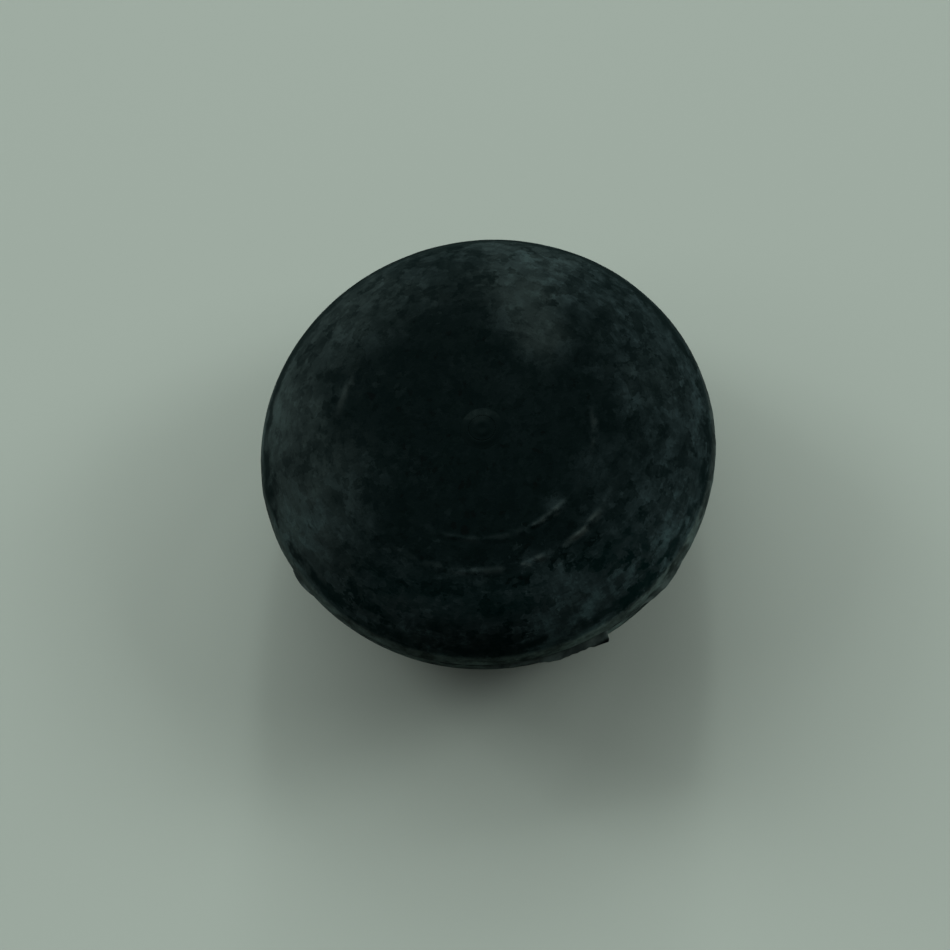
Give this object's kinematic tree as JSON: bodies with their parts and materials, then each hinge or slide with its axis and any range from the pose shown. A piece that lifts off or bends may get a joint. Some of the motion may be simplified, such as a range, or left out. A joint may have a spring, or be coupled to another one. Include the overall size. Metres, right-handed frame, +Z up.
{
  "type": "watch case opening friction ball",
  "caption": "Flattened hollow black rubber ball that is pressed on a watch case back and turned by hand to unscrew it, with a push-in air stopper at its upper pole.",
  "frame": {"origin": "centre of the flat that the ball rests on", "axes": "+Z up along the ball's axis, through the stopper; -Y faces the camera of the picture, +X to its right"},
  "size_m": [0.065, 0.065, 0.0192],
  "materials": {
    "wall_rubber": "satin black moulded rubber, scuffed and dusty",
    "bond_rubber": "matt black, torn flash at its edge",
    "patch_rubber": "matt black sheet",
    "valve_rubber": "satin black"
  },
  "bodies": {
    "ball": {"upper_shell": "wall_rubber", "lower_shell": "wall_rubber", "seam_strip": "bond_rubber", "valve_patch": "patch_rubber", "valve_housing": "valve_rubber"},
    "plug": {"valve_plug": "valve_rubber"}
  },
  "joints": [
    {"name": "plug_pull", "type": "slide", "parent": "ball", "child": "plug", "axis": [0, 0, 1], "range_m": [0, 0.0103]}
  ]
}
